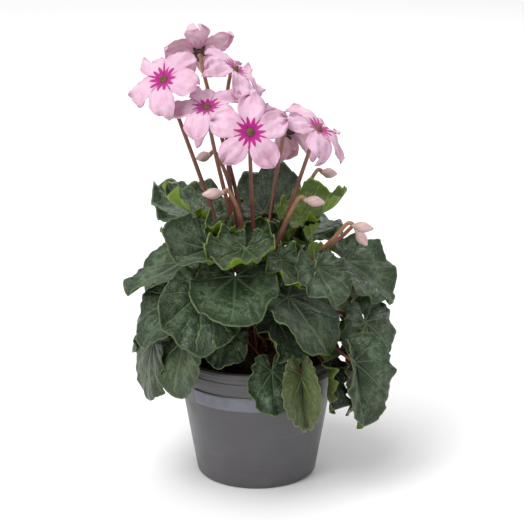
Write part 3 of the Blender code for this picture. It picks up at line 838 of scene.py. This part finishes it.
def make_leaf(number, habit):
    """A fine blade over the part's plain one, with its stalk. Numbers from LEAVES on are fill leaves."""
    axes = leaf_axes(habit)
    face = axes.to_3x3() @ Vector((0, 0, 1))
    rays, rings = 108, 20
    rows, marks = [], []
    for ray in range(rays + 1):
        angle = LOBE_ANGLE * (2 * ray / rays - 1)
        row, mark = [], []
        for ring in range(rings + 1):
            share = (ring / rings) ** 0.85
            stretch = 1 + (ragged_margin(number, angle) - 1) * share**4
            spread = (axes @ blade_point(habit, angle, share) - habit["attach"]) * stretch
            lift = ruffle(number, angle, share, habit["age"])
            row.append(habit["attach"] + spread + face * lift)
            mark.append((0.5 + angle / (2 * LOBE_ANGLE), share))
        rows.append(row)
        marks.append(mark)
    shape = Shape()
    two_sided(shape, rows, marks, LEAF_THICKNESS, 0, 1, 2)
    steps = 18
    path = leaf_stalk_path(number, habit, steps)
    radii = [STALK_RADIUS * (1.08 - 0.35 * step / steps) for step in range(steps + 1)]
    if number >= LEAVES:
        radii = [radius * 0.7 for radius in radii]
    tube_patch(shape, path, radii, 3, 10)
    upper, under = LEAF_LOOKS[look_of(number, habit)]
    made = shape.made(f"fine_leaf_{number + 1:02d}", [upper, under, MARGIN, LEAF_STALK])
    if number < LEAVES:
        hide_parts(f"leaf_{number + 1:02d}")


def petal_place(across, out, back_fold, chance):
    """A point of one fine petal, which leaves the eye along +X."""
    eye_half = EYE_RADIUS * math.tan(math.pi / PETALS)
    half = max(petal_half_width(out) * chance["width"], eye_half * max(0.0, 1 - out * 4))
    seed = Vector((out * 2.6, across * 2.6, chance["phase"] * 5))
    half *= 1 + 0.10 * out * noise.noise(Vector((out * 5, round(across) * 9, chance["phase"])))
    side = (2 * across - 1) * half
    reach = (PETAL_LENGTH * chance["length"] - EYE_RADIUS) * out
    lift = 0.0016 * math.sin(math.pi * min(1, out * 1.5))
    z = lift - math.tan(math.radians(back_fold + chance["bend"])) * reach * out + 14 * side * side * out
    z += 0.0034 * out**2 * math.sin(5.0 * (across - 0.5) + chance["phase"])
    z += 0.0017 * out**2 * math.sin(15 * (across - 0.5) + 2 * chance["phase"])
    z += 0.0044 * out * noise.noise(seed) + 0.0018 * out * noise.noise(seed * 3)
    side += chance["twist"] * reach * out
    start = EYE_RADIUS * min(1, 0.25 + out * 20)
    notch = 0.0013 * math.exp(-(((across - 0.5) / 0.10) ** 2)) * out**8
    rounding = 0.0010 * (2 * across - 1) ** 2 * out
    return Vector((start + reach - notch - rounding, side, z))


def make_corolla(place, centre, normal, back_fold, turn):
    """Five petals, each a little different, round a small raised eye."""
    axes = facing(centre, normal, turn)
    draw = random.Random(place)
    shape = Shape()
    for petal in range(PETALS):
        chance = {
            "width": draw.uniform(0.94, 1.06),
            "length": draw.uniform(0.93, 1.03),
            "bend": draw.uniform(-5, 7),
            "twist": draw.uniform(-0.10, 0.10),
            "phase": draw.uniform(0, 6.28),
        }
        spoke = axes @ Matrix.Rotation(2 * math.pi * petal / PETALS, 4, "Z")
        rows, marks = [], []
        outs = [o / 24 for o in range(25)]
        for a in range(17):
            across = a / 16
            rows.append([spoke @ petal_place(1 - across, out, back_fold, chance) for out in outs])
            marks.append([(across, out) for out in outs])
        two_sided(shape, rows, marks, PETAL_SKIN, 0, 1, 2)
    for ring in (0, 1):
        height = 0.0012 + 0.0014 * ring
        path = [axes @ Vector((0, 0, z)) for z in (-0.0004, 0.0006, height, height + 0.0009)]
        tube_patch(shape, path, [0.0030, 0.0031 - 0.001 * ring, 0.0024 - 0.0012 * ring, 0.0006], 3, 14)
    made = shape.made(f"fine_corolla_{place}", [PETAL_FRONT, PETAL_BACK_PAINTED_BACKLIGHT, PETAL_EDGE, EYE])
    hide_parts(f"corolla_{place}")


def make_flower(place, slot, centre, normal, back_fold, turn):
    """A corolla, and the stalk that ends behind it in a cup of five pointed sepals."""
    make_corolla(place, centre, normal, back_fold, turn)
    steps = 28
    path = flower_path(slot, centre, normal, steps)
    face = Vector(normal).normalized()
    cup = [path[-1] + face * CUP_DEPTH * share for share in CUP_RADII]
    thick = [STALK_RADIUS * (1.12 - 0.22 * step / steps) for step in range(steps + 1)]
    shape = Shape()
    tube_patch(shape, path + cup, thick + list(CUP_RADII.values()), 0, 14)
    axes = facing(centre, normal, turn + 180 / PETALS)
    sepal_length, sepal_half = SEPAL_SIZE
    for sepal in range(PETALS):
        spoke = axes @ Matrix.Rotation(2 * math.pi * sepal / PETALS, 4, "Z")
        rows, marks = [], []
        for a in range(5):
            row = []
            for o in range(7):
                out = o / 6
                half = sepal_half * (1 - out) ** 0.7 * (0.7 + 0.9 * out)
                drop = -0.0017 - 0.0022 * (1 - out) + 0.0005 * math.sin(3 * out)
                row.append(spoke @ Vector((0.0018 + sepal_length * out, (a / 2 - 1) * half, drop)))
            rows.append(row)
            marks.append([(a / 4, o / 6) for o in range(7)])
        two_sided(shape, rows, marks, PETAL_SKIN, 1, 1, 1)
    made = shape.made(f"fine_flower_stalk_{place}", [FLOWER_STALK, SEPAL])
    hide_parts(f"flower_stalk_{place}")


def smooth_line(points, radii, steps):
    """More points along a line through points, with radii to match (Catmull-Rom)."""
    line, sizes = [], []
    last = len(points) - 1
    for k in range(last):
        p = [points[max(0, min(last, k + d))] for d in (-1, 0, 1, 2)]
        r = [radii[max(0, min(last, k + d))] for d in (-1, 0, 1, 2)]
        for step in range(steps):
            t = step / steps
            weights = (
                -0.5 * t + t * t - 0.5 * t**3,
                1 - 2.5 * t * t + 1.5 * t**3,
                0.5 * t + 2 * t * t - 1.5 * t**3,
                -0.5 * t * t + 0.5 * t**3,
            )
            line.append(sum((q * w for q, w in zip(p, weights)), Vector()))
            sizes.append(max(0.0002, sum(s * w for s, w in zip(r, weights))))
    return line + [points[-1]], sizes + [radii[-1]]


def make_bud(place, *bud):
    """A hooked stalk and the closed bud at its end, as two lengths of one smooth line."""
    points = bud_path(*bud)
    slim = [STALK_RADIUS * 0.95] * (len(points) - len(BUD_RADII))
    full = [radius * 1.22 for radius in BUD_RADII.values()]
    steps = 8
    line, sizes = smooth_line(points, slim + full, steps)
    start = len(slim) * steps - 3
    shape = Shape()
    tube_patch(shape, line[: start + 1], sizes[: start + 1], 0, 14)
    tube_patch(shape, line[start:], sizes[start:], 1, 20)
    made = shape.made(f"fine_bud_{place}", [FLOWER_STALK, BUD])
    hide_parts(f"bud_{place}")


# ---- pot, label, soil and tuber -------------------------------------------------------------


def turned(name, profile, materials, segments=144, ripple=None):
    """A profile of (radius, height) turned round the pot's axis. ripple() may move its points."""
    rows, marks = [], []
    for index, (radius, height) in enumerate(profile):
        row = []
        for step in range(segments + 1):
            angle = 2 * math.pi * (step % segments) / segments
            spot = Vector((radius * math.cos(angle), radius * math.sin(angle), height))
            if ripple:
                spot += ripple(spot, index)
            row.append(spot)
        rows.append(row)
        marks.append([(step / segments, index / len(profile)) for step in range(segments + 1)])
    shape = Shape()
    shape.patch(rows, marks, 0, flip=True)
    return shape.made(name, materials)


def pot_plastic():
    """Grey plastic with dust, scuffs that run round it, and soil stains along the rim; its grey is partly
    its own and partly painted shade.
    """
    n = Nodes("pot_plastic")
    place = n.place()
    height = n.add("ShaderNodeSeparateXYZ", {0: place}).outputs[2]
    dust = n.ramp(n.noise(45, 5, place, 0.65), 0.42, 0.72)
    # Both greys are darker than the plastic's own. They are partly its own grey and partly painted shade,
    # as if the pot stood under the foliage.
    colour = n.mix(n.times(dust, 0.30), (0.076, 0.072, 0.080), (0.125, 0.118, 0.120))
    flat = n.add("ShaderNodeMapping", {"Vector": place, "Scale": (22.0, 22.0, 620.0)}).outputs[0]
    scuffs = n.ramp(n.noise(1.0, 4, flat, 0.6), 0.46, 0.68)
    worn = n.times(scuffs, n.ramp(height, 0.060, 0.080, 0.15, 0.45))
    colour = n.mix(worn, colour, (0.150, 0.136, 0.138))
    near_rim = n.ramp(height, POT_HEIGHT - 0.009, POT_HEIGHT - 0.001)
    stain = n.times(near_rim, n.ramp(n.noise(130, 4, place), 0.45, 0.62))
    colour = n.mix(n.times(stain, 0.5), colour, (0.12, 0.085, 0.060))
    n.bump(n.noise(900, 2, place), 0.25, 0.0002)
    return n.finish(colour, n.ramp(dust, 0, 1, 0.36, 0.52))


def drill_holes(pot):
    """Cuts the drain holes with Booleans, as the part does."""
    reach = FOOT_RADIUS - DRAIN_INSET
    for hole in range(DRAIN_HOLES):
        angle = 2 * math.pi * (hole + 0.5) / DRAIN_HOLES
        bm = bmesh.new()
        sizes = {"radius1": DRAIN_RADIUS, "radius2": DRAIN_RADIUS, "depth": 0.01}
        bmesh.ops.create_cone(bm, cap_ends=True, segments=24, **sizes)
        mesh = bpy.data.meshes.new("fine_drill")
        bm.to_mesh(mesh)
        bm.free()
        drill = placed(f"fine_drill_{hole + 1}", mesh)
        drill.hide_render = True
        drill.display_type = "WIRE"
        drill.location = (reach * math.cos(angle), reach * math.sin(angle), 0)
        cut = pot.modifiers.new(drill.name, "BOOLEAN")
        cut.operation = "DIFFERENCE"
        cut.object = drill


def make_pot():
    shoulder = POT_HEIGHT - COLLAR_DEPTH
    collar = RIM_RADIUS - RIM_LIP
    groove = 0.0005
    outside = [
        (collar - WALL, POT_HEIGHT),
        (RIM_RADIUS - 0.0010, POT_HEIGHT),
        (RIM_RADIUS - 0.0003, POT_HEIGHT - 0.0003),
        (RIM_RADIUS, POT_HEIGHT - 0.0010),
        (RIM_RADIUS, POT_HEIGHT - 0.0028),
        (RIM_RADIUS - 0.0004, POT_HEIGHT - 0.0033),
        (collar, POT_HEIGHT - 0.0036),
        (collar, POT_HEIGHT - 0.0070),
        (collar - groove, POT_HEIGHT - 0.0074),
        (collar - groove, POT_HEIGHT - 0.0080),
        (collar, POT_HEIGHT - 0.0084),
        (collar - 0.0003, shoulder + 0.0010),
        (collar - 0.0009, shoulder + 0.0003),
        (wall_radius(shoulder), shoulder - 0.0002),
    ]
    wall = [(wall_radius(h), h) for h in (0.066, 0.054, 0.042, 0.030, 0.018, 0.008, 0.0026)]
    foot = [
        (FOOT_RADIUS + 0.0001, 0.0012),
        (FOOT_RADIUS - 0.0010, 0.0002),
        (FOOT_RADIUS - 0.0018, 0),
        (0.02, 0),
        (ON_AXIS, 0),
    ]
    inside = [
        (ON_AXIS, WALL),
        (FOOT_RADIUS - WALL - 0.001, WALL),
        (wall_radius(shoulder) - WALL, shoulder),
        (collar - WALL, shoulder + 0.0010),
        (collar - WALL, POT_HEIGHT),
    ]
    pot = turned("fine_pot", outside + wall + foot + inside, [pot_plastic()])
    pot.data.set_sharp_from_angle(angle=math.radians(35))
    drill_holes(pot)
    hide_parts("pot")


def make_label():
    """A bare paper strip round the front left of the wall, its pale colour darkened by painted shade."""
    rows, marks = [], []
    for up in range(7):
        row = []
        for across in range(49):
            angle = LABEL_START + (LABEL_END - LABEL_START) * across / 48
            height = POT_HEIGHT - LABEL_DROP - LABEL_HEIGHT * (1 - up / 6)
            radius = wall_radius(height) + FIT_GAP * 0.7 + LABEL_THICKNESS
            row.append(Vector((radius * math.cos(angle), radius * math.sin(angle), height)))
        rows.append(row)
        marks.append([(across / 48, up / 6) for across in range(49)])
    shape = Shape()
    # The paper's own colour is a pale grey-white; this darker grey is painted shade.
    paper = plain("label_paper", (0.165, 0.170, 0.205), 0.42, 0.16, 160, 0.00005)
    two_sided(shape, rows, marks, LABEL_THICKNESS, 0, 0, 0)
    made = shape.made("fine_label", [paper])
    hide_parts("label")


def potting_mix():
    n = Nodes("potting_mix")
    grain = n.noise(420, 6, n.place(), 0.7)
    colour = n.mix(n.ramp(grain, 0.36, 0.66), (0.012, 0.008, 0.006), (0.075, 0.045, 0.028))
    n.bump(grain, 1.0, 0.0012)
    return n.finish(colour, 0.95, **{"Specular IOR Level": 0.2})


def make_soil():
    """The filling of the pot, lumpy on top, with loose crumbs on it."""
    edge = RIM_RADIUS - RIM_LIP - WALL - 0.0003
    rings = 44
    profile = [(ON_AXIS, SOIL_TOP - 0.004)]
    profile += [(ON_AXIS + (edge - ON_AXIS) * k / rings, SOIL_TOP + 0.0006) for k in range(rings + 1)]
    profile.append((wall_radius(POT_HEIGHT - COLLAR_DEPTH) - WALL - 0.0006, 0.070))
    profile += [(0.0405, WALL + 0.0006), (ON_AXIS, WALL + 0.0006)]

    def lumps(spot, index):
        if not 1 <= index <= rings:
            return Vector()
        rise = noise.noise(spot * 160) * 0.0014 + noise.noise(spot * 420) * 0.0009
        return Vector((0, 0, rise))

    mix = potting_mix()
    soil = turned("fine_soil", profile, [mix], 120, lumps)
    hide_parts("soil")

    draw = random.Random(CRUMB_SEED)
    bm = bmesh.new()
    for _ in range(CRUMBS):
        radius = edge * 0.97 * math.sqrt(draw.uniform(0.19, 1))
        angle = draw.uniform(0, 2 * math.pi)
        size = draw.uniform(0.0006, 0.0018)
        height = SOIL_TOP + 0.0010 + size * 0.2
        where = Matrix.Translation((radius * math.cos(angle), radius * math.sin(angle), height))
        shape = (draw.uniform(0.6, 1.5), draw.uniform(0.6, 1.5), draw.uniform(0.5, 0.9), 1)
        spin = Matrix.Rotation(draw.uniform(0, 6.28), 4, "Z")
        where = where @ spin @ Matrix.Diagonal(shape)
        bmesh.ops.create_icosphere(bm, subdivisions=1, radius=size, matrix=where)
    mesh = bpy.data.meshes.new("crumbs")
    bm.to_mesh(mesh)
    bm.free()
    mesh.materials.append(mix)
    crumbs = placed("fine_crumbs", mesh)
    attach(crumbs, "root")


def make_tuber():
    """A knobbly flattened ball."""
    sizes = Vector((TUBER_RADIUS, TUBER_RADIUS, TUBER_HALF_HEIGHT))
    rows, marks = [], []
    for ring in range(33):
        slope = math.pi * ring / 32
        row = []
        for step in range(65):
            angle = 2 * math.pi * (step % 64) / 64
            across = math.sin(slope)
            way = Vector((across * math.cos(angle), across * math.sin(angle), math.cos(slope)))
            bump = 1 + 0.05 * noise.noise(way * 5) - 0.02
            row.append(TUBER_CENTRE + way * sizes * bump)
        rows.append(row)
        marks.append([(step / 64, ring / 32) for step in range(65)])
    shape = Shape()
    shape.patch(rows, marks, 0, flip=True)
    skin = plain("tuber_skin", (0.13, 0.075, 0.045), 0.85, 0.55, 220, 0.0008)
    made = shape.made("fine_tuber", [skin])
    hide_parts("tuber")


# ---- light, floor and camera ----------------------------------------------------------------

VIEW_RISE = math.radians(17)
VIEW_DISTANCE = 1.25
VIEW_WIDTH = 0.372
VIEW_MIDDLE = (0.004, 0.0, 0.156)


def make_floor():
    bpy.ops.mesh.primitive_plane_add(size=30, location=(0, 0, -0.0002))
    floor = bpy.context.object
    floor.name = "studio_floor"
    n = Nodes("studio_floor")
    n.finish((0.90, 0.90, 0.90), 0.8, **{"Specular IOR Level": 0.1})
    floor.data.materials.append(n.material)


def make_lights():
    """An even white surround, a high soft sun, and one panel each before and behind."""
    world = bpy.data.worlds.new("studio_world")
    bpy.context.scene.world = world
    world.use_nodes = True
    background = world.node_tree.nodes["Background"]
    background.inputs["Color"].default_value = (1.0, 1.0, 1.0, 1.0)
    background.inputs["Strength"].default_value = 0.58
    bpy.context.scene.view_settings.view_transform = "Standard"
    middle = Vector((0, 0, 0.15))
    for name, kind, where, size, power in (
        ("sky", "SUN", (-0.45, -0.35, 1.6), 0.7, 1.55),
        ("key", "AREA", (-0.7, -0.9, 1.1), 0.6, 8.0),
        ("back", "AREA", (0.5, 1.3, 1.2), 0.9, 9.0),
    ):
        light = bpy.data.lights.new(name, kind)
        light.energy = power
        if kind == "SUN":
            light.angle = size
        else:
            light.size = size
        lamp = placed(name, light)
        lamp.location = where
        lamp.rotation_euler = (middle - Vector(where)).to_track_quat("-Z", "Y").to_euler()


def make_camera():
    """Looks at the front from a little above, as the photograph does."""
    camera = placed("camera", bpy.data.cameras.new("camera"))
    back = Vector((0, -math.cos(VIEW_RISE), math.sin(VIEW_RISE)))
    camera.location = Vector(VIEW_MIDDLE) + back * VIEW_DISTANCE
    camera.rotation_euler = (-back).to_track_quat("-Z", "Y").to_euler()
    camera.data.sensor_width = 36
    camera.data.lens = camera.data.sensor_width * VIEW_DISTANCE / VIEW_WIDTH
    bpy.context.scene.camera = camera


make_pot()
make_label()
make_soil()
make_tuber()
habits = settled_leaves([leaf_habit(number) for number in range(LEAVES)], range(LEAVES))
young = [young_habit(number) for number in range(len(YOUNG_LEAVES))]
habits = settled_leaves(habits + young, range(LEAVES, LEAVES + len(young)), YOUNG_ROUNDS)
for number, habit in enumerate(habits):
    make_leaf(number, habit)
for place, flower in FLOWERS.items():
    make_flower(place, *flower)
for place, bud in BUDS.items():
    make_bud(place, *bud)
make_floor()
make_lights()
make_camera()
